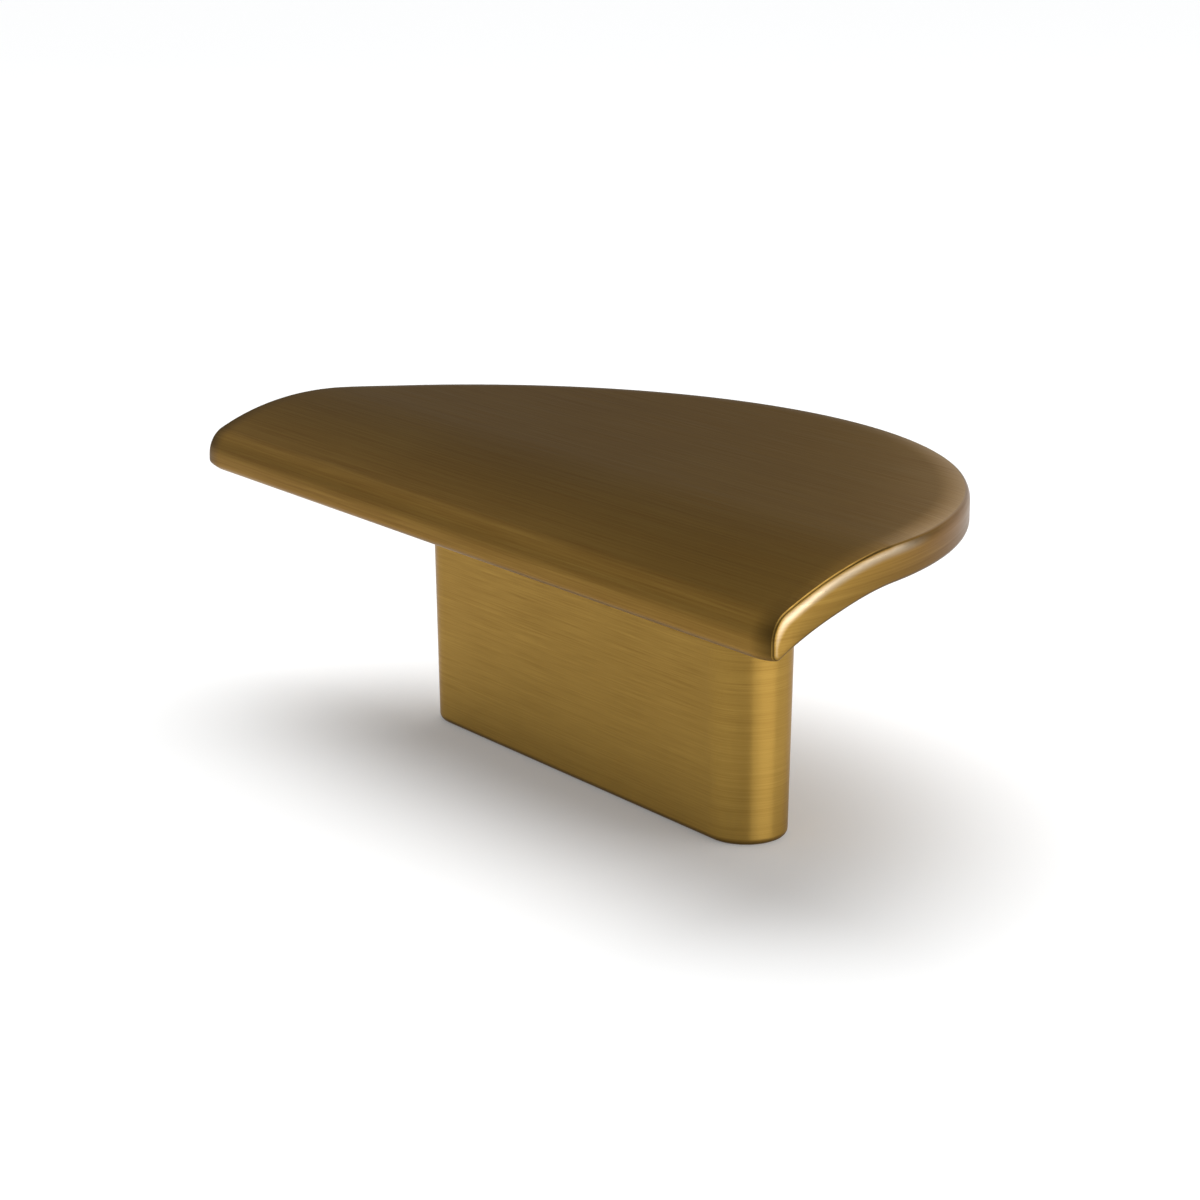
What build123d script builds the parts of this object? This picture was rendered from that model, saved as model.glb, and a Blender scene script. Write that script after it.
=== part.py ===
from build123d import *
import math
import os

# Sizes in millimetres and degrees. The origin is the middle of the mounting face, +Z points away from
# the drawer front, and the straight lip of the plate runs along X on the -Y side.

# Plate
plate_radius = 40.0
plate_thickness = 2.75
projection = 26.8
bend_radius = 24.0
bend_run = 12.6
nose_radius = 2.7
lip_under_radius = 0.7
rim_radius = 0.5

# Post
post_length = 44.3
post_width = 6.6
post_draft = 1.0
lip_reach = 14.7
root_radius = 0.8
foot_radius = 0.3

# Two blind holes tapped for M4 screws
screw_spacing = 32.0
tap_drill_diameter = 3.3
tap_depth = 14.0
drill_point_angle = 118.0
mouth_diameter = 4.3
mouth_angle = 90.0

# Places that follow from the sizes above
lip_y = -lip_reach
bend_y = lip_y + bend_run
back_y = lip_y + plate_radius + plate_thickness
bend_z = projection - bend_radius
under_z = projection - plate_thickness
under_radius = bend_radius - plate_thickness
top_sweep = math.degrees(math.asin(bend_run / bend_radius))
under_sweep = math.degrees(math.asin(bend_run / under_radius))
post_height = projection - plate_thickness / 2
drill_radius = tap_drill_diameter / 2
mouth_radius = mouth_diameter / 2
drill_point_height = drill_radius / math.tan(math.radians(drill_point_angle / 2))
mouth_depth = (mouth_radius - drill_radius) / math.tan(math.radians(mouth_angle / 2))

with BuildPart() as half_moon_pull:
    # Side section of the plate, drawn in Y and Z: flat, bend, upright lip, and the underside one thickness in
    with BuildSketch(Plane.YZ) as section:
        with BuildLine() as section_line:
            top_flat = Line((back_y, projection), (bend_y, projection))
            top_bend = CenterArc((bend_y, bend_z), bend_radius, 90, top_sweep)
            under_bend = CenterArc((bend_y, bend_z), under_radius, 90, under_sweep)
            lip_front = Line(top_bend @ 1, under_bend @ 1)
            under_flat = Line(under_bend @ 0, (back_y, under_z))
            back_end = Line(under_flat @ 1, top_flat @ 0)
        make_face()
        lip_corners = section.vertices().sort_by(Axis.X)[:2].sort_by(Axis.Y)
        fillet(lip_corners[1], radius=nose_radius)
        fillet(section.vertices().sort_by(Axis.Y)[0], radius=lip_under_radius)
    extrude(amount=plate_radius, both=True)

    # The half circle, centred on the straight edge
    with BuildSketch(Plane.XY) as outline:
        with Locations((0, lip_y)):
            Circle(plate_radius)
    extrude(amount=projection, mode=Mode.INTERSECT)

    # One rounding round the whole rim and both lip ends
    rim_wall = half_moon_pull.faces().filter_by(GeomType.CYLINDER).sort_by(SortBy.RADIUS)[-1]
    fillet(rim_wall.edges(), radius=rim_radius)

    # Post, wider towards the plate
    with BuildSketch(Plane.XY) as foot:
        SlotOverall(post_length, post_width)
    extrude(amount=post_height, taper=-post_draft)
    fillet(half_moon_pull.edges(Select.NEW), radius=root_radius)
    fillet(half_moon_pull.faces().sort_by(Axis.Z)[0].edges(), radius=foot_radius)

    # Screw holes from the mounting face, each with a drill point and a chamfered mouth
    with GridLocations(screw_spacing, 0, 2, 1):
        upward = (Align.CENTER, Align.CENTER, Align.MIN)
        Cylinder(drill_radius, tap_depth, align=upward, mode=Mode.SUBTRACT)
        Cone(mouth_radius, drill_radius, mouth_depth, align=upward, mode=Mode.SUBTRACT)
        with Locations((0, 0, tap_depth)):
            Cone(drill_radius, 0, drill_point_height, align=upward, mode=Mode.SUBTRACT)

half_moon_pull.part.label = "half_moon_pull"

os.makedirs("parts", exist_ok=True)
export_step(half_moon_pull.part, "parts/half_moon_pull.step")
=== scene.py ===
import math

import bpy
import numpy as np
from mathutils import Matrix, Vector


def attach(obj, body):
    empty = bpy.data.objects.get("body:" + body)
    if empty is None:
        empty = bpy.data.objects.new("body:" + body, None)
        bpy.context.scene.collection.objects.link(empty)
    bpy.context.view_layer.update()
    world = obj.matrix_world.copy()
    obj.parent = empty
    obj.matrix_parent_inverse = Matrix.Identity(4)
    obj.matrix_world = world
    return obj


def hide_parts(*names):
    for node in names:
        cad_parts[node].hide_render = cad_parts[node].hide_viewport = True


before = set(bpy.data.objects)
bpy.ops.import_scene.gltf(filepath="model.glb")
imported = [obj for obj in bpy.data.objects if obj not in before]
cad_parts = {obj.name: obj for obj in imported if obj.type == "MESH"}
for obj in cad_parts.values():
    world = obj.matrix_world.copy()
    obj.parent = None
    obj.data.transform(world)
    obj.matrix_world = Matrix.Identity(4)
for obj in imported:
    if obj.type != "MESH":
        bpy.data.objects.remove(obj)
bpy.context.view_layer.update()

# Sizes of the solid in millimetres, as in its source; angles are in radians
MM = 0.001
PLATE_R = 40.0
PLATE_T = 2.75
PROJECTION = 26.8
BEND_R = 24.0
BEND_RUN = 12.6
NOSE_R = 2.7
LIP_UNDER_R = 0.7
POST_LENGTH = 44.3
POST_WIDTH = 6.6
POST_DRAFT = math.radians(1.0)
LIP_REACH = 14.7
ROOT_R = 0.8
SCREW_SPACING = 32.0
DRILL_R = 1.65
TAP_DEPTH = 14.0
DRILL_POINT = 0.991
MOUTH_R = 2.15
MOUTH_DEPTH = 0.5

# Fine form that brushing leaves on the casting: the rim is crowned up to a tight edge, the plate's face
# rolls off a little before it, and the foot's edge is rounder than on the solid
CROWN_R = 1.5
EDGE_R = 0.25
CROWN_SHARE = 0.35
ROLL_WIDTH = 2.4
ROLL_TILT = math.radians(7.0)
ROLL_FADE = math.radians(8.0)
JOIN_TILT = math.radians(3.5)
BEND_TILT = math.radians(3.0)
NOSE_TILT = math.radians(12.0)
FOOT_R = 0.6

# The rim's form goes from the top's, at 0, to the underside's, at 1. LIP_UNDER is how far it has come at the
# lip, and UNDER_RISE, past 1, makes it reach the underside's form early.
UNDER_CROWN_R = 0.5
LIP_UNDER = 0.8
UNDER_RISE = 4.0

# Worn finish and painted light: above zero paler metal from rubbing, which on the crown, the roll-off and
# the lip's lower rounding also paints highlights; below zero painted shade
RUB_AND_SHEEN_PEAK = 0.25
RUB_AND_SHEEN_WIDTH = 0.25
# How strong the crown's paler band is along the rim: paler metal from rubbing, and a painted highlight
# fading to the back
BEND_BRIGHT = 0.7
NOSE_BRIGHT = 0.8
LIP_BRIGHT = 0.3
BACK_BRIGHT = 0.0
BRIGHT_FADE = math.radians(9.0)
# Painted shade on the nose and lip's face, and a painted highlight, partly finger rubbing, on the lip's
# lower rounding
LIP_PAINTED_SHADE = 0.12
LIP_RUB_AND_SHEEN = 0.7
# Painted shade on the face near the lip's ends
END_PAINTED_SHADE = 0.7
# Painted shade: a dark line along the tight edge
EDGE_DARK = 0.9
DARK_PEAK = 0.55
DARK_WIDTH = 0.42
# Painted shade on the underside's rim rounding and the rim's lower wall
UNDER_DARK = 1.0
WALL_DARK = 0.38
# Painted contact shadow round the post's foot
FOOT_DARK = 0.8
# Paler metal from rubbing where the top rolls off, also a painted sheen
ROLL_WEAR_AND_SHEEN = 0.22
MOUTH_WEAR = 1.0

# Thread in the screw holes
THREAD_PITCH = 0.7
THREAD_DEPTH = 0.35
THREAD_END = 11.5
THREAD_FADE = 0.5
FLANK_SLOPE = 1.7
FLANK_START = 0.35

# Mesh density, and the line where the rows round the lip end and the rings round the post begin
COLUMNS = 97
CROWDING = 0.85
FLAT_ROWS = 60
BEND_ROWS = 20
UNDER_ROWS = 10
NOSE_ROWS = 12
LIP_ROWS = 8
BAND_STEPS = 20
ROOT_STEPS = 8
FOOT_STEPS = 5
POST_ROWS = 6
RING_ROWS = 14
HOLE_COLUMNS = 48
THREAD_ROWS_PER_TURN = 8
SKIRT_Y = -7.0

# Arithmetic: tries that settle a place, the step that measures a slope, and what counts as the same
RIM_TRIES = 30
ROOT_TRIES = 8
SLOPE_STEP = 0.01
POINT_DIGITS = 5
SAME_WAY = 1e-9
MIDDLE_SLACK = 1e-6

# Places that follow
LIP_Y = -LIP_REACH
BEND_Y = LIP_Y + BEND_RUN
BEND_Z = PROJECTION - BEND_R
BEND_CENTRE = (BEND_Y, BEND_Z)
UNDER_Z = PROJECTION - PLATE_T
UNDER_R = BEND_R - PLATE_T
POST_HALF = (POST_LENGTH - POST_WIDTH) / 2
POST_HALF_W = POST_WIDTH / 2
FACE_R = PLATE_R - CROWN_R + (CROWN_R - EDGE_R) * math.cos(CROWN_SHARE * math.pi / 2)
FLAT_START = math.asin(BEND_RUN / FACE_R)
FULL_TURN = 2 * math.pi
HOLE_STEP = FULL_TURN / HOLE_COLUMNS
DOWN = np.array((0.0, 0.0, -1.0))

# Patches, used to give each its own brush pattern; the post's lines are shorter and closer together
TOP, SIDE, UNDER, POST, FOOT, HOLE = 0.0, 20.0, 40.0, 60.0, 80.0, 100.0
POST_GRAIN = (1.8, 1.5)


class Skin:
    """One closed mesh put together from grids of points that share their borders.

    A corner is a point, a normal, a place in the brush pattern and a value of worn finish and painted light.
    """

    def __init__(self):
        self.index = {}
        self.points = []
        self.faces = []
        self.normals = []
        self.brush = []
        self.edge = []

    def add(self, p):
        key = tuple(round(v, POINT_DIGITS) for v in p)
        if key not in self.index:
            self.index[key] = len(self.points)
            self.points.append(key)
        return self.index[key]

    def face(self, corners):
        """One face; a corner that repeats its neighbour's point is left out."""
        ids = [self.add(c[0]) for c in corners]
        keep = [i for i in range(len(ids)) if ids[i] != ids[i - 1]]
        if len({ids[i] for i in keep}) < 3:
            return
        self.faces.append([ids[i] for i in keep])
        for i in keep:
            self.normals.append(corners[i][1])
            self.brush.append(corners[i][2])
            self.edge.append(corners[i][3])

    def grid(self, rows, flip=False, closed=False):
        """Faces between equal rows of corners, counter-clockwise as rows, then columns, unless flipped."""
        for a, b in zip(rows, rows[1:]):
            n = len(a)
            for j in range(n if closed else n - 1):
                k = (j + 1) % n
                quad = [a[j], b[j], b[k], a[k]]
                self.face(quad[::-1] if flip else quad)

    def zipper(self, one, two, flip=False):
        """Triangles between two lines of (corner, place), walked together by their places."""
        i = j = 0
        while i < len(one) - 1 or j < len(two) - 1:
            two_ended = j == len(two) - 1
            if two_ended or (i < len(one) - 1 and one[i + 1][1] <= two[j + 1][1]):
                triangle = [one[i][0], two[j][0], one[i + 1][0]]
                i += 1
            else:
                triangle = [one[i][0], two[j][0], two[j + 1][0]]
                j += 1
            self.face(triangle[::-1] if flip else triangle)

    def build(self, name):
        mesh = bpy.data.meshes.new(name)
        co = np.array(self.points) * MM
        mesh.from_pydata([tuple(c) for c in co], [], self.faces)
        mesh.shade_smooth()
        brush = mesh.attributes.new("brush", "FLOAT_VECTOR", "CORNER")
        brush.data.foreach_set("vector", np.array(self.brush, np.float32).ravel())
        # Per corner, worn finish and painted light: above zero paler metal, below zero painted shade
        edge = mesh.attributes.new("edge", "FLOAT", "CORNER")
        edge.data.foreach_set("value", np.array(self.edge, np.float32))
        n = np.array(self.normals)
        n /= np.linalg.norm(n, axis=1)[:, None]
        mesh.normals_split_custom_set([tuple(v) for v in n])
        return add_object(name, mesh)


def add_object(name, data):
    obj = bpy.data.objects.new(name, data)
    bpy.context.scene.collection.objects.link(obj)
    return obj


def mix(ends, t):
    """The number a part t of the way between two."""
    return ends[0] + (ends[1] - ends[0]) * t


def between(a, b, t):
    """The unit direction a part t of the way from direction a to direction b."""
    w = math.acos(max(-1.0, min(1.0, float(np.dot(a, b)))))
    if w < SAME_WAY:
        return np.array(a)
    return (math.sin((1 - t) * w) * a + math.sin(t * w) * b) / math.sin(w)


def smooth(t):
    t = max(0.0, min(1.0, t))
    return t * t * (3 - 2 * t)


def mirrored(corner):
    p, n, b, wear_and_painted_light = corner
    return (np.array((-p[0], p[1], p[2])), np.array((-n[0], n[1], n[2])), (-b[0], b[1], b[2]), wear_and_painted_light)


def roll_off(tilt, crown):
    """Inset of the face's border from the rim, and its drop, where the face rolls off by tilt."""
    crown_end = CROWN_SHARE * (math.pi / 2 - tilt)
    inset = crown - (crown - EDGE_R) * math.cos(crown_end) - EDGE_R * math.sin(tilt)
    return inset, math.tan(tilt) * (ROLL_WIDTH - inset) / 2


def top_tilt(turn):
    """Tilt of the flat top at the rim where the plan angle from the lip's end is turn."""
    return mix((JOIN_TILT, ROLL_TILT), smooth((turn - FLAT_START) / ROLL_FADE))


def under_height(y):
    if y >= BEND_Y:
        return UNDER_Z
    return BEND_Z + math.sqrt(UNDER_R ** 2 - (y - BEND_Y) ** 2)


class Station:
    """A place along the plate's section, and the rim beside it from the rim's wall to the plate's face.

    up is the way the face looks, in Y and Z, run the way along the section, tilt the roll-off at the rim,
    and under goes from 0 on the top to 1 underneath. The rest is worn finish and painted light: paler metal
    from rubbing that also paints a sheen where the flat top rolls off, the same paler metal on the rim's
    crown as a painted highlight, painted shade near the ends of the lip, and on the lip's face painted shade
    turning to a painted highlight.
    """

    def __init__(self, y, z, up, run, turn=None, tilt=0.0, under=0.0,
                 rubbed=0.0, bright=1.0, stain=0.0, face_shade_and_sheen=0.0):
        under = min(1.0, under)
        self.y, self.z, self.run, self.tilt = y, z, run, tilt
        self.rubbed, self.bright, self.stain, self.face_shade_and_sheen = rubbed, bright, stain, face_shade_and_sheen
        # How much of the underside's painted shade this station takes
        self.dark = max(0.0, (under - LIP_UNDER) / (1 - LIP_UNDER))
        self.up = np.array((0.0, up[0], up[1]))
        self.crown = mix((CROWN_R, UNDER_CROWN_R), under)
        self.inset, self.drop = roll_off(tilt, self.crown)
        self.turn = turn or 0.0
        # Without a given plan angle, it is settled so that the face's border comes out at y
        for _ in range(1 if turn else RIM_TRIES):
            self.out = np.array((math.cos(self.turn), math.sin(self.turn), 0.0))
            self.face = between(self.up, self.out, 2 * tilt / math.pi)
            self.split = between(self.out, self.face, CROWN_SHARE)
            inward = self.drop * self.up + EDGE_R * self.face + (self.crown - EDGE_R) * self.split
            if not turn:
                self.turn = math.asin(min(1.0, (y - inward[1] - LIP_Y) / (PLATE_R - self.crown)))
        self.ball = (PLATE_R - self.crown) * self.out + np.array((0.0, LIP_Y, z - inward[2]))

    def wear_and_painted_light(self, t):
        """Worn finish and painted light a part t of the way from the rim's wall to the plate's face."""
        # Paler metal across the rim's crown, from rubbing and as a painted highlight
        rubbed = self.bright * smooth(1 - abs(t - RUB_AND_SHEEN_PEAK) / RUB_AND_SHEEN_WIDTH)
        # Painted shade: a dark line along the tight edge, weaker where the top rolls off
        darkest = EDGE_DARK * (1 - self.rubbed / ROLL_WEAR_AND_SHEEN)
        dark = darkest * smooth(1 - abs(t - DARK_PEAK) / DARK_WIDTH)
        # The roll-off's paler metal carried onto the tight edge, partly a painted sheen
        last = self.rubbed * smooth((t - 1) / (1 - CROWN_SHARE) + 1)
        # Painted shade on the underside's rim rounding and on the rim's wall below
        under = max(UNDER_DARK * math.sin(math.pi * t), WALL_DARK * (1 - t))
        return (1 - self.dark) * (rubbed - dark + last) - self.dark * under

    def band(self):
        """Corners from the rim's wall to the plate's face."""
        corners = []
        for j in range(BAND_STEPS + 1):
            t = j / BAND_STEPS
            n = between(self.out, self.face, t)
            if t <= CROWN_SHARE:
                p = self.ball + self.crown * n
            else:
                p = self.ball + (self.crown - EDGE_R) * self.split + EDGE_R * n
            corners.append((p, n, (PLATE_R * self.turn, p[2], SIDE), self.wear_and_painted_light(t)))
        return corners

    def wall_corner(self):
        """The band's first corner, with its normal level as the rim's upright wall needs it."""
        p, n, brush, wear_and_painted_light = self.band()[0]
        return (p, np.array((n[0], n[1], 0.0)), brush, wear_and_painted_light)


def flat_station(turn):
    """The station of the flat top that meets the rim at that plan angle from the lip's end."""
    tilt = top_tilt(turn)
    inset, _ = roll_off(tilt, CROWN_R)
    # The crown's paler band, partly a painted highlight, fades out towards the back; where the top rolls
    # off, paler metal from rubbing also paints a sheen
    back = smooth((turn - FLAT_START) / BRIGHT_FADE)
    return Station(LIP_Y + (PLATE_R - inset) * math.sin(turn), PROJECTION, (0.0, 1.0),
                   PLATE_R - FACE_R * math.sin(turn), turn, tilt,
                   rubbed=ROLL_WEAR_AND_SHEEN * tilt / ROLL_TILT, bright=mix((BEND_BRIGHT, BACK_BRIGHT), back))


def arc_stations(centre, radius, angles, rows, run, inward=False, under=(0.0, 0.0),
                 tilt=(0.0, 0.0), bright=(1.0, 1.0), stain=(0.0, 0.0), face_shade_and_sheen=(0.0, 0.0)):
    """Stations along an arc of the section; each pair of values is that at its start and at its end."""
    sign = -1.0 if inward else 1.0
    length = abs(angles[1] - angles[0]) * radius
    stations = []
    for i in range(rows + 1):
        t = i / rows
        a = mix(angles, t)
        c, s = math.cos(a), math.sin(a)
        stations.append(Station(
            centre[0] + radius * c, centre[1] + radius * s, (sign * c, sign * s), run + length * t,
            tilt=mix(tilt, smooth(t)), under=mix(under, t ** 2),
            bright=mix(bright, t), stain=mix(stain, t ** 2), face_shade_and_sheen=mix(face_shade_and_sheen, t)))
    return stations


# Centres and ends of the section's small arcs
nose_drop = BEND_RUN - NOSE_R
nose_z = BEND_Z + math.sqrt((BEND_R - NOSE_R) ** 2 - nose_drop ** 2)
nose_angle = math.atan2(nose_z - BEND_Z, -nose_drop)
lip_drop = BEND_RUN - LIP_UNDER_R
lip_z = BEND_Z + math.sqrt((UNDER_R + LIP_UNDER_R) ** 2 - lip_drop ** 2)
lip_angle = math.atan2(lip_z - BEND_Z, -lip_drop)
skirt_angle = math.acos((SKIRT_Y - BEND_Y) / UNDER_R)

# Stations all along the section, from the back of the flat top round the lip to the back of the underside
turns = [math.pi / 2 + (FLAT_START - math.pi / 2) * i / FLAT_ROWS for i in range(FLAT_ROWS + 1)]
top_flat = [flat_station(a) for a in turns]
# Along the bend, nose, lip and underside the crown's painted highlight fades, painted shade darkens the face
# near the lip's ends and on the nose, and a painted highlight, partly finger rubbing, runs along the lip's
# lower rounding
top_bend = arc_stations(
    BEND_CENTRE, BEND_R, (math.pi / 2, nose_angle), BEND_ROWS, PLATE_R - BEND_RUN,
    tilt=(JOIN_TILT, BEND_TILT), bright=(BEND_BRIGHT, NOSE_BRIGHT), stain=(0.0, END_PAINTED_SHADE))
nose = arc_stations(
    (LIP_Y + NOSE_R, nose_z), NOSE_R, (nose_angle, math.pi), NOSE_ROWS, top_bend[-1].run,
    under=(0.0, LIP_UNDER), tilt=(BEND_TILT, NOSE_TILT), bright=(NOSE_BRIGHT, LIP_BRIGHT),
    stain=(END_PAINTED_SHADE, END_PAINTED_SHADE), face_shade_and_sheen=(0.0, -LIP_PAINTED_SHADE))
lip = arc_stations(
    (LIP_Y + LIP_UNDER_R, lip_z), LIP_UNDER_R, (math.pi, lip_angle + math.pi), LIP_ROWS,
    nose[-1].run + nose_z - lip_z,
    under=(LIP_UNDER, LIP_UNDER), tilt=(NOSE_TILT, NOSE_TILT), bright=(LIP_BRIGHT, 0.0),
    stain=(END_PAINTED_SHADE, END_PAINTED_SHADE), face_shade_and_sheen=(-LIP_PAINTED_SHADE, LIP_RUB_AND_SHEEN))
under_front = arc_stations(
    BEND_CENTRE, UNDER_R, (lip_angle, skirt_angle), UNDER_ROWS, lip[-1].run, inward=True,
    under=(LIP_UNDER, UNDER_RISE), tilt=(NOSE_TILT, 0.0), bright=(0.0, 0.0),
    stain=(END_PAINTED_SHADE, 0.0), face_shade_and_sheen=(LIP_RUB_AND_SHEEN, 0.0))
under_back = arc_stations(
    BEND_CENTRE, UNDER_R, (skirt_angle, math.pi / 2), UNDER_ROWS, under_front[-1].run, inward=True,
    under=(1.0, 1.0))
under_flat = [Station(0.0, UNDER_Z, (0.0, -1.0), under_front[-1].run, a, under=1.0) for a in turns[::-1]]

rim_top = top_flat + top_bend[1:] + nose[1:]
sheet_rows = rim_top + lip + under_front[1:]
rim_under = nose[-1:] + lip + under_front[1:] + under_back[1:] + under_flat[1:]

# Columns across the plate from -1 to 1, closer together towards the ends
even = [2 * i / (COLUMNS - 1) - 1 for i in range(COLUMNS)]
columns = [CROWDING * math.sin(math.pi / 2 * t) + (1 - CROWDING) * t for t in even]


def sheet_row(st):
    """Corners across the plate's face at a station, from rim to rim, with the roll-off at both."""
    end = st.band()[-1][0]
    row = []
    for u in columns:
        x = end[0] * u
        # The face's own value: painted shade on the nose and lip, turning to a painted highlight along the
        # lip's lower rounding
        p, n, wear_and_painted_light = np.array((x, st.y, st.z)), st.up, st.face_shade_and_sheen
        # Where the flat top rolls off, paler metal from rubbing that also paints a sheen
        if st.tilt and st.rubbed:
            away = math.hypot(x, st.y - LIP_Y)
            tilt = top_tilt(math.atan2(st.y - LIP_Y, abs(x)))
            inset, drop = roll_off(tilt, CROWN_R)
            part = max(0.0, (ROLL_WIDTH - (PLATE_R - away)) / (ROLL_WIDTH - inset))
            p[2] -= drop * part ** 2
            n = n + math.tan(tilt) * part / away * np.array((x, st.y - LIP_Y, 0.0))
            wear_and_painted_light = ROLL_WEAR_AND_SHEEN * tilt / ROLL_TILT * part ** 2
        elif st.tilt:
            part = max(0.0, 1 - (end[0] - abs(x)) / (ROLL_WIDTH - st.inset))
            p = p - st.drop * part ** 2 * st.up
            n = n + math.tan(st.tilt) * part * np.array((math.copysign(1.0, u), 0.0, 0.0))
            # Painted shade on the face towards the rim near the lip's ends
            wear_and_painted_light -= st.stain * part
        if abs(u) == 1.0:
            p = np.array((x, end[1], end[2]))
        row.append((p, n, (x, st.run, TOP), wear_and_painted_light))
    return row


def by_depth(corners):
    """The corners with their Y as the place along the rim."""
    return [(c, c[0][1]) for c in corners]


# The plate's face, its rim on both sides, and the rim's wall between the upper and the lower rounding
skin = Skin()
skin.grid([sheet_row(st) for st in sheet_rows])
for line in (rim_top, rim_under):
    bands = [st.band() for st in line]
    skin.grid(bands, flip=True)
    skin.grid([[mirrored(c) for c in band] for band in bands])
wall_top = [st.wall_corner() for st in rim_top[::-1]]
wall_under = [st.wall_corner() for st in rim_under]
skin.zipper(by_depth(wall_top), by_depth(wall_under))
skin.zipper(by_depth(map(mirrored, wall_top)), by_depth(map(mirrored, wall_under)), flip=True)


def post_frame(p):
    """The nearest point of the post's middle line, and the level direction from it to p."""
    base = np.array((max(-POST_HALF, min(POST_HALF, p[0])), 0.0, 0.0))
    away = np.array((p[0], p[1], 0.0)) - base
    return base, away / np.linalg.norm(away)


def post_radius(z):
    return POST_HALF_W + z * math.tan(POST_DRAFT)


def post_brush(s, z):
    return (POST_GRAIN[0] * s, POST_GRAIN[1] * z, POST)


def root_ball(base, away):
    """Centre of the rounding where the post meets the plate, and the direction from it to the plate."""
    z = UNDER_Z - ROOT_R
    for _ in range(ROOT_TRIES):
        c = base + away * (post_radius(z) + ROOT_R / math.cos(POST_DRAFT))
        if c[1] >= BEND_Y:
            z = UNDER_Z - ROOT_R
        else:
            z = BEND_Z + math.sqrt((UNDER_R - ROOT_R) ** 2 - (c[1] - BEND_Y) ** 2)
    c = c + np.array((0.0, 0.0, z))
    if c[1] >= BEND_Y:
        return c, -DOWN
    m = np.array((0.0, c[1] - BEND_Y, c[2] - BEND_Z))
    return c, m / np.linalg.norm(m)


# Points round the underside's border, along the lip and then right, back and left, and for each of them
# the side of the post that faces it
right_border = [st.band()[-1] for st in under_front[-1:] + under_back[1:] + under_flat[1:]]
border = ([c[0] for c in sheet_row(under_front[-1])] + [c[0] for c in right_border[1:]]
          + [mirrored(c)[0] for c in right_border[-2:0:-1]])
frames = [post_frame(p) for p in border]
balls = [root_ball(base, away) for base, away in frames]
walls = [np.array((d[0] * math.cos(POST_DRAFT), d[1] * math.cos(POST_DRAFT), -math.sin(POST_DRAFT)))
         for _, d in frames]
perimeter = [0.0]
for (b0, d0), (b1, d1) in zip(frames, frames[1:]):
    step = np.linalg.norm(b1 + d1 * POST_HALF_W - b0 - d0 * POST_HALF_W)
    perimeter.append(perimeter[-1] + float(step))


def under_ring(i):
    """Corners on the underside, from its border at 0 in to the post's root at RING_ROWS."""
    t = i / RING_ROWS
    ring = []
    for p, (c, m) in zip(border, balls):
        touch = c + ROOT_R * m
        x = mix((p[0], touch[0]), t)
        y = mix((p[1], touch[1]), t)
        z = under_height(y)
        n = DOWN if y >= BEND_Y else np.array((0.0, BEND_Y - y, BEND_Z - z))
        if i == 0:
            z = p[2]
        elif i == RING_ROWS:
            z = touch[2]
        ring.append((np.array((x, y, z)), n, (x, y, UNDER), 0.0))
    return ring


def root_loop(j):
    """Corners round the root's rounding, from the plate at 0 to the post at ROOT_STEPS."""
    loop = []
    for (c, m), wall, s in zip(balls, walls, perimeter):
        n = between(m, -wall, j / ROOT_STEPS)
        p = c + ROOT_R * n
        loop.append((p, -n, post_brush(s, p[2]), 0.0))
    return loop


def post_loop(j, root_end):
    """Corners round the post, from the root's last loop at 0 to the foot's rounding at POST_ROWS."""
    foot_top = FOOT_R * (1 - math.sin(POST_DRAFT))
    loop = []
    for (p, _, _, _), (base, away), wall, s in zip(root_end, frames, walls, perimeter):
        if j > 0:
            z = mix((p[2], foot_top), j / POST_ROWS)
            p = base + away * post_radius(z) + np.array((0.0, 0.0, z))
        loop.append((p, wall, post_brush(s, p[2]), 0.0))
    return loop


def foot_loop(j, post_end):
    """Corners round the foot's rounding, from the post's end at 0 to the mounting face at FOOT_STEPS."""
    t = j / FOOT_STEPS
    loop = []
    for (p, wall, _, _), s in zip(post_end, perimeter):
        n = between(wall, DOWN, t)
        if j > 0:
            p = p - FOOT_R * wall + FOOT_R * n
        brush = post_brush(s, p[2])
        if j == FOOT_STEPS:
            p = np.array((p[0], p[1], 0.0))
        # Painted contact shadow: the foot's rounding darker
        loop.append((p, n, brush, -FOOT_DARK * math.sin(math.pi * t)))
    return loop


skin.grid([under_ring(i) for i in range(RING_ROWS + 1)], closed=True)
root = [root_loop(j) for j in range(ROOT_STEPS + 1)]
skin.grid(root, closed=True)
post = [post_loop(j, root[-1]) for j in range(POST_ROWS + 1)]
skin.grid(post, closed=True)
foot = [foot_loop(j, post[-1]) for j in range(FOOT_STEPS + 1)]
skin.grid(foot, closed=True)


def thread_radius(phi, z):
    t = (z / THREAD_PITCH - phi / FULL_TURN) % 1.0
    groove = max(0.0, min(1.0, (1 - abs(2 * t - 1)) * FLANK_SLOPE - FLANK_START))
    fade = smooth((z - MOUTH_DEPTH) / THREAD_FADE) * smooth((THREAD_END - z) / THREAD_FADE)
    return DRILL_R + THREAD_DEPTH * groove * fade


def thread_normal(phi, z, r):
    """Normal of the threaded wall, from how the radius changes along it and round it."""
    h = SLOPE_STEP
    dz = (thread_radius(phi, z + h) - thread_radius(phi, z - h)) / (2 * h)
    da = (thread_radius(phi + h, z) - thread_radius(phi - h, z)) / (2 * h)
    c, s = math.cos(phi), math.sin(phi)
    return np.array((-c - da / r * s, -s + da / r * c, dz))


def bore_loop(x, z):
    """Corners round the threaded wall of the hole at x."""
    loop = []
    for k in range(HOLE_COLUMNS):
        a = k * HOLE_STEP
        r = thread_radius(a, z)
        p = np.array((x + r * math.cos(a), r * math.sin(a), z))
        loop.append((p, thread_normal(a, z, r), (r * a, z, HOLE), 0.0))
    return loop


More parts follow.
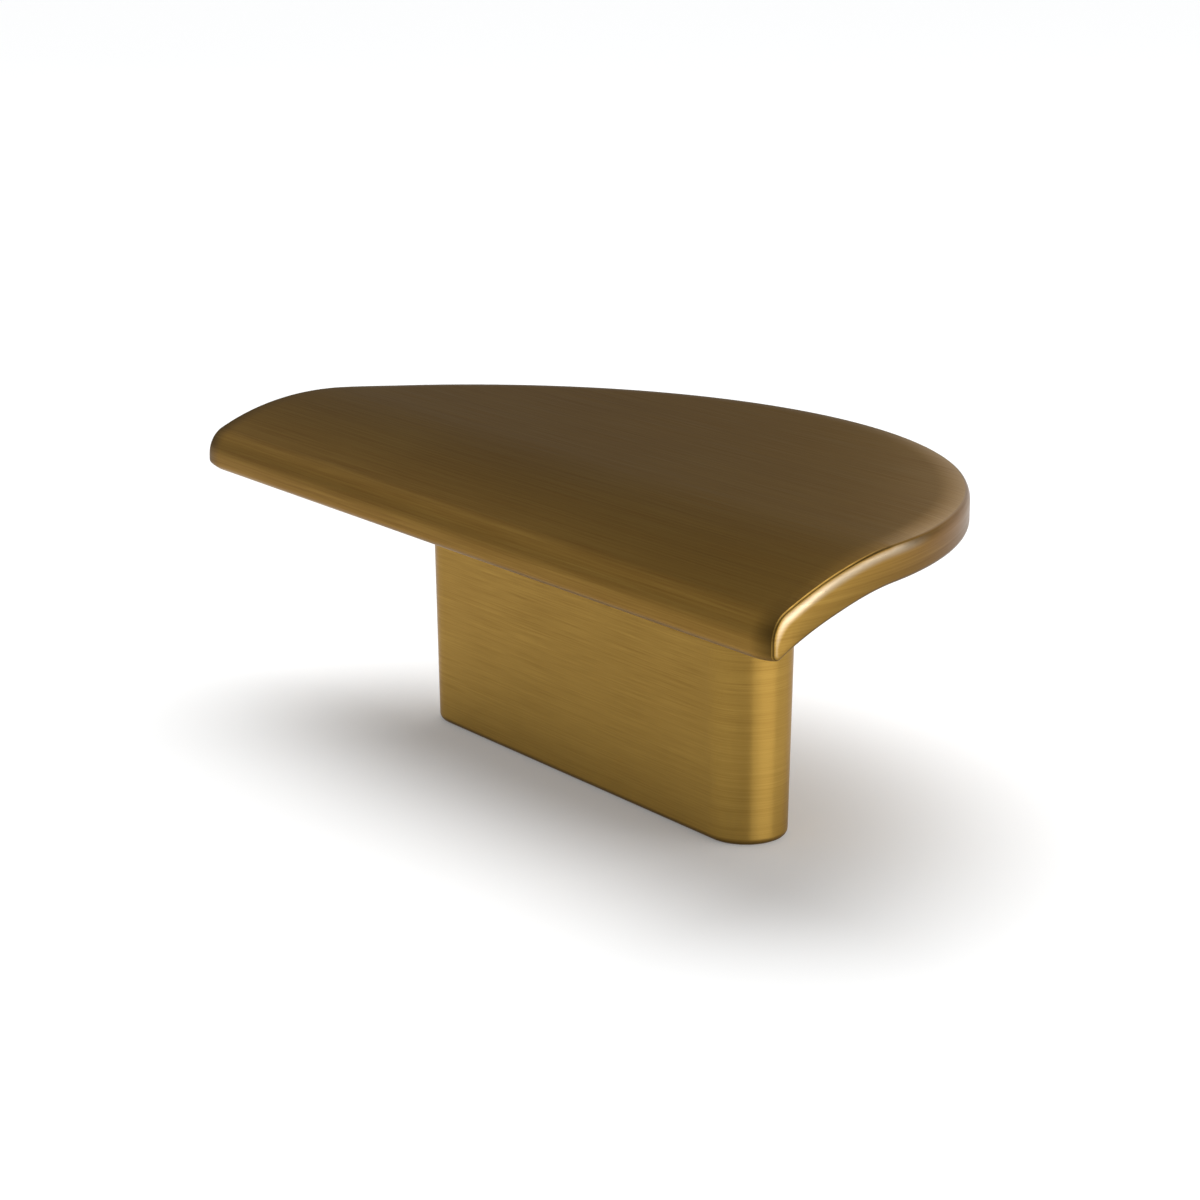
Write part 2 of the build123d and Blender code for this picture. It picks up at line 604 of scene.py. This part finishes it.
def cone_loop(x, r, z, level, down, wear_and_painted_light):
    """Corners round a cone of the hole at x, whose normal points inwards by level and down by down."""
    loop = []
    for k in range(HOLE_COLUMNS):
        a = k * HOLE_STEP
        c, s = math.cos(a), math.sin(a)
        p = np.array((x + r * c, r * s, z))
        loop.append((p, np.array((-c * level, -s * level, -down)), (r * a, z, HOLE), wear_and_painted_light))
    return loop


def face_corner(p):
    return (p, DOWN, (p[0], p[1], FOOT), 0.0)


def add_hole(side):
    """One half of the mounting face, and the screw hole in it."""
    x = side * SCREW_SPACING / 2

    def heading(corner):
        return math.atan2(corner[0][1], corner[0][0] - x) % FULL_TURN

    outline = [face_corner(c[0]) for c in foot[-1] if c[0][0] * side >= -MIDDLE_SLACK]
    outline.sort(key=heading)
    outer = [(c, heading(c)) for c in outline]
    outer.append((outline[0], outer[0][1] + FULL_TURN))
    inner = []
    for k in range(HOLE_COLUMNS):
        a = k * HOLE_STEP
        p = np.array((x + MOUTH_R * math.cos(a), MOUTH_R * math.sin(a), 0.0))
        inner.append((face_corner(p), a))
    inner.append((inner[0][0], FULL_TURN))
    skin.zipper(outer, inner)

    skin.grid([cone_loop(x, r, z, 1.0, 1.0, MOUTH_WEAR)
               for r, z in ((MOUTH_R, 0.0), (DRILL_R, MOUTH_DEPTH))], closed=True)
    thread_rows = int((THREAD_END - MOUTH_DEPTH) / THREAD_PITCH * THREAD_ROWS_PER_TURN)
    levels = [MOUTH_DEPTH + i * THREAD_PITCH / THREAD_ROWS_PER_TURN for i in range(thread_rows + 1)]
    skin.grid([bore_loop(x, z) for z in levels + [THREAD_END, TAP_DEPTH]], closed=True)
    skin.grid([cone_loop(x, r, z, DRILL_POINT, DRILL_R, 0.0)
               for r, z in ((DRILL_R, TAP_DEPTH), (0.0, TAP_DEPTH + DRILL_POINT))], closed=True)


add_hole(1)
add_hole(-1)

pull = skin.build("brushed_half_moon_pull")
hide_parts("half_moon_pull")
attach(pull, "root")


class Nodes:
    """A small helper that adds shader nodes and links their sockets."""

    def __init__(self, tree):
        self.tree = tree

    def add(self, kind, **values):
        node = self.tree.nodes.new(kind)
        for name, value in values.items():
            setattr(node, name, value)
        return node

    def feed(self, socket, value):
        if isinstance(value, bpy.types.NodeSocket):
            self.tree.links.new(value, socket)
        else:
            socket.default_value = value

    def math(self, operation, a, b=None, clamp=False):
        node = self.add("ShaderNodeMath", operation=operation, use_clamp=clamp)
        self.feed(node.inputs[0], a)
        if b is not None:
            self.feed(node.inputs[1], b)
        return node.outputs[0]

    def vector(self, operation, a, b=None):
        node = self.add("ShaderNodeVectorMath", operation=operation)
        self.feed(node.inputs[0], a)
        if b is not None:
            self.feed(node.inputs[1], b)
        return node.outputs[0]

    def noise(self, vector, scale, detail, roughness):
        node = self.add("ShaderNodeTexNoise")
        self.feed(node.inputs["Vector"], vector)
        node.inputs["Scale"].default_value = scale
        node.inputs["Detail"].default_value = detail
        node.inputs["Roughness"].default_value = roughness
        return node.outputs["Fac"]

    def spread(self, value, old, new):
        """The value moved from the range old to the range new, and held within it."""
        node = self.add("ShaderNodeMapRange")
        self.feed(node.inputs["Value"], value)
        node.inputs["From Min"].default_value, node.inputs["From Max"].default_value = old
        node.inputs["To Min"].default_value, node.inputs["To Max"].default_value = new
        return node.outputs["Result"]

    def mix(self, kind, factor, a, b):
        """A mix of two colours or vectors; the node has sockets of the same names for every kind."""
        node = self.add("ShaderNodeMix", data_type=kind)
        wanted = {("Factor", "VALUE"): factor, ("A", kind): a, ("B", kind): b}
        for socket in node.inputs:
            if (socket.name, socket.type) in wanted:
                self.feed(socket, wanted.pop((socket.name, socket.type)))
        return next(socket for socket in node.outputs if socket.type == kind)


# Brushed antique brass: brass with a brown patina left in the brush lines, and paler edges from rubbing
# whose colour also paints highlights; the darkest colour is painted shade
PATINA = (0.215, 0.108, 0.019, 1.0)
BRASS = (0.440, 0.2725, 0.0626, 1.0)
PAINTED_SHADE = (0.075, 0.043, 0.011, 1.0)
RUB_AND_SHEEN_COLOUR = (0.72, 0.64, 0.52, 1.0)
RUB_AND_SHEEN_MOST = 0.7
RUBBED_GLOSS = 0.10
GRAZING_TINT = (0.75, 0.695, 0.655, 1.0)
BASE_ROUGHNESS = 0.36
ANISOTROPY = 0.85

# Painted light and shade added to the tone: the post lighter, most at its foot, by the height on the post,
# and the rim's wall lighter near the lip's end and darker towards the back, by the way along the rim from
# the lip's end, in millimetres
POST_PAINTED_LIGHT = 0.39
FOOT_PAINTED_LIGHT = 0.64
POST_FADE = 12.0
RIM_PAINTED_LIGHT = 0.24
RIM_PAINTED_SHADE_BACK = -0.44
RIM_FADE = (6.0, 27.0)

# Noises: the brush pattern's stretch, then scale, detail and roughness, and what each does to the finish
LONG_STRETCH = (0.02, 1.6, 1.0)
LONG_NOISE = (1.0, 4.0, 0.65)
LONG_TONE = (0.18, 0.38)
FINE_STRETCH = (0.08, 6.0, 1.0)
FINE_NOISE = (1.0, 3.0, 0.6)
FINE_TONE = (-0.20, 0.20)
FINE_ROUGHNESS = (0.05, -0.05)
LINE_RANGE = (0.25, 0.75)
CLOUD_NOISE = (45.0, 2.0, 0.5)
CLOUD_RANGE = (0.3, 0.7)
CLOUD_TONE = (-0.04, 0.07)
BUMP_STRENGTH = 0.12
BUMP_DISTANCE = 0.00004
LONG_BUMP = 0.6

# Directions; the nudge keeps the level one defined on faces that look straight up or down
UP = (0.0, 0.0, 1.0)
ALONG_LIP = (1.0, 0.0, 0.0)
LEVEL_NUDGE = (0.0005, 0.0, 0.0)

material = bpy.data.materials.new("brushed_antique_brass")
material.use_nodes = True
nodes = Nodes(material.node_tree)
shader = material.node_tree.nodes["Principled BSDF"]

brush = nodes.add("ShaderNodeAttribute", attribute_name="brush").outputs["Vector"]
edge = nodes.add("ShaderNodeAttribute", attribute_name="edge").outputs["Fac"]
place = nodes.add("ShaderNodeTexCoord").outputs["Object"]
normal = nodes.add("ShaderNodeNewGeometry").outputs["Normal"]

patch = nodes.add("ShaderNodeSeparateXYZ")
nodes.feed(patch.inputs[0], brush)
on_face = nodes.math("LESS_THAN", patch.outputs["Z"], SIDE / 2)
on_rim = nodes.math("COMPARE", patch.outputs["Z"], SIDE)
on_post = nodes.math("GREATER_THAN", patch.outputs["Z"], (UNDER + POST) / 2)

long_lines = nodes.noise(nodes.vector("MULTIPLY", brush, LONG_STRETCH), *LONG_NOISE)
fine_lines = nodes.noise(nodes.vector("MULTIPLY", brush, FINE_STRETCH), *FINE_NOISE)
clouds = nodes.noise(place, *CLOUD_NOISE)

# Tone, from patina at 0 to brass at 1, with painted light on the post and painted light and shade along the
# rim added in
long_tone = nodes.spread(long_lines, LINE_RANGE, LONG_TONE)
fine_tone = nodes.spread(fine_lines, LINE_RANGE, FINE_TONE)
cloud_tone = nodes.spread(clouds, CLOUD_RANGE, CLOUD_TONE)
# Painted light: the post lighter than the plate, lighter still towards its foot
post_painted_light = nodes.spread(patch.outputs["Y"], (0.0, POST_FADE * POST_GRAIN[1]), (FOOT_PAINTED_LIGHT, POST_PAINTED_LIGHT))
# Painted light and shade along the rim's wall: lighter near the lip's ends, darker towards the back
rim_way = nodes.math("ABSOLUTE", patch.outputs["X"])
rim_painted_shading = nodes.spread(rim_way, RIM_FADE, (RIM_PAINTED_LIGHT, RIM_PAINTED_SHADE_BACK))
tone = nodes.math("ADD", long_tone, fine_tone)
tone = nodes.math("ADD", tone, cloud_tone)
tone = nodes.math("ADD", tone, nodes.math("MULTIPLY", on_post, post_painted_light))
tone = nodes.math("ADD", tone, nodes.math("MULTIPLY", on_rim, rim_painted_shading), clamp=True)

colour = nodes.mix("RGBA", tone, PATINA, BRASS)
# Above zero, paler metal from rubbing that also paints highlights
rubbed_share = nodes.math("MULTIPLY", edge, RUB_AND_SHEEN_MOST, clamp=True)
colour = nodes.mix("RGBA", rubbed_share, colour, RUB_AND_SHEEN_COLOUR)
# Below zero, painted shade
painted_shade_share = nodes.math("MULTIPLY", edge, -1.0, clamp=True)
colour = nodes.mix("RGBA", painted_shade_share, colour, PAINTED_SHADE)

rough = nodes.math("ADD", nodes.spread(fine_lines, LINE_RANGE, FINE_ROUGHNESS), BASE_ROUGHNESS)
rough = nodes.math("SUBTRACT", rough, nodes.math("MULTIPLY", edge, RUBBED_GLOSS, clamp=True))

# The brush lines run along X on the plate's face, and level round everything else
level = nodes.vector("ADD", nodes.vector("CROSS_PRODUCT", UP, normal), LEVEL_NUDGE)
along = nodes.mix("VECTOR", on_face, nodes.vector("NORMALIZE", level), ALONG_LIP)
across = nodes.vector("NORMALIZE", nodes.vector("CROSS_PRODUCT", normal, along))

bump = nodes.add("ShaderNodeBump")
bump.inputs["Strength"].default_value = BUMP_STRENGTH
bump.inputs["Distance"].default_value = BUMP_DISTANCE
relief = nodes.math("ADD", fine_lines, nodes.math("MULTIPLY", long_lines, LONG_BUMP))
nodes.feed(bump.inputs["Height"], relief)

nodes.feed(shader.inputs["Base Color"], colour)
nodes.feed(shader.inputs["Roughness"], rough)
nodes.feed(shader.inputs["Tangent"], across)
nodes.feed(shader.inputs["Normal"], bump.outputs["Normal"])
shader.inputs["Metallic"].default_value = 1.0
shader.inputs["Anisotropic"].default_value = ANISOTROPY
shader.inputs["Specular Tint"].default_value = GRAZING_TINT
pull.data.materials.append(material)

# Floor: pale, and white where the light reaches it
FLOOR_SIZE = 60.0
FLOOR_COLOUR = (0.80, 0.80, 0.80, 1.0)
FLOOR_ROUGHNESS = 0.9
FLOOR_LIFT = 0.172
WHITE = (1.0, 1.0, 1.0, 1.0)
bpy.ops.mesh.primitive_plane_add(size=FLOOR_SIZE, location=(0.0, 0.0, 0.0))
floor = bpy.context.object
floor.name = "floor"
floor_material = bpy.data.materials.new("pale_floor")
floor_material.use_nodes = True
floor_nodes = Nodes(floor_material.node_tree)
floor_shader = floor_material.node_tree.nodes["Principled BSDF"]
floor_shader.inputs["Base Color"].default_value = FLOOR_COLOUR
floor_shader.inputs["Roughness"].default_value = FLOOR_ROUGHNESS
floor_shader.inputs["Specular IOR Level"].default_value = 0.0
floor_shader.inputs["Emission Color"].default_value = WHITE
ray = floor_nodes.add("ShaderNodeLightPath")
seen = floor_nodes.math("MAXIMUM", ray.outputs["Is Camera Ray"], ray.outputs["Is Glossy Ray"])
seen = floor_nodes.math("MAXIMUM", seen, ray.outputs["Is Transmission Ray"])
lift = floor_nodes.math("MULTIPLY", seen, FLOOR_LIFT)
floor_nodes.feed(floor_shader.inputs["Emission Strength"], lift)
floor.data.materials.append(floor_material)

# Light: an even world, a wide soft sun from above, and softboxes that the metal reflects. A way points from
# the object to the lamp, sizes are in metres, and a softbox's power is by its area and radiance.
WORLD_COLOUR = (0.945, 0.98, 1.0, 1.0)
WORLD_STRENGTH = 0.228
SUN_WAY = (-0.20, 0.11, 0.97)
SUN_ANGLE = math.radians(60.0)
SUN_STRENGTH = 2.55
POWER_PER_RADIANCE = 4.0

world = bpy.data.worlds.new("studio")
bpy.context.scene.world = world
world.use_nodes = True
background = world.node_tree.nodes["Background"]
background.inputs["Color"].default_value = WORLD_COLOUR
background.inputs["Strength"].default_value = WORLD_STRENGTH

sun = bpy.data.lights.new("top", "SUN")
sun.angle = SUN_ANGLE
sun.energy = SUN_STRENGTH
add_object("top", sun).rotation_euler = Vector(SUN_WAY).to_track_quat("Z", "Y").to_euler()


def softbox(name, way, distance, width, height, radiance):
    """A rectangle of light at that distance from the object, facing it."""
    data = bpy.data.lights.new(name, "AREA")
    data.shape = "RECTANGLE"
    data.size = width
    data.size_y = height
    data.energy = POWER_PER_RADIANCE * width * height * radiance
    lamp = add_object(name, data)
    way = Vector(way).normalized()
    lamp.location = way * distance
    lamp.rotation_euler = way.to_track_quat("Z", "Y").to_euler()
    lamp.visible_camera = False


softbox("back_right", (0.730, 0.570, 0.377), distance=0.6, width=1.0, height=0.19, radiance=2.0)
softbox("right", (0.98, 0.12, 0.14), distance=0.5, width=0.56, height=0.18, radiance=2.2)
softbox("back", (-0.386, 0.828, 0.407), distance=0.6, width=0.44, height=0.40, radiance=0.55)
softbox("left", (-0.803, -0.324, 0.5), distance=0.6, width=0.48, height=0.26, radiance=0.35)

# Camera where the photograph was taken from
CAMERA_AT = (0.18432, -0.13090, 0.07281)
CAMERA_WAY = (-0.79015, 0.55983, -0.24952)
CAMERA_LENS = 86.47
SENSOR_WIDTH = 36.0
CLIP_START = 0.01
camera_data = bpy.data.cameras.new("camera")
camera_data.sensor_width = SENSOR_WIDTH
camera_data.sensor_fit = "HORIZONTAL"
camera_data.lens = CAMERA_LENS
camera_data.clip_start = CLIP_START
camera = add_object("camera", camera_data)
camera.location = CAMERA_AT
camera.rotation_euler = Vector(CAMERA_WAY).to_track_quat("-Z", "Y").to_euler()
bpy.context.scene.camera = camera
bpy.context.scene.view_settings.view_transform = "Standard"
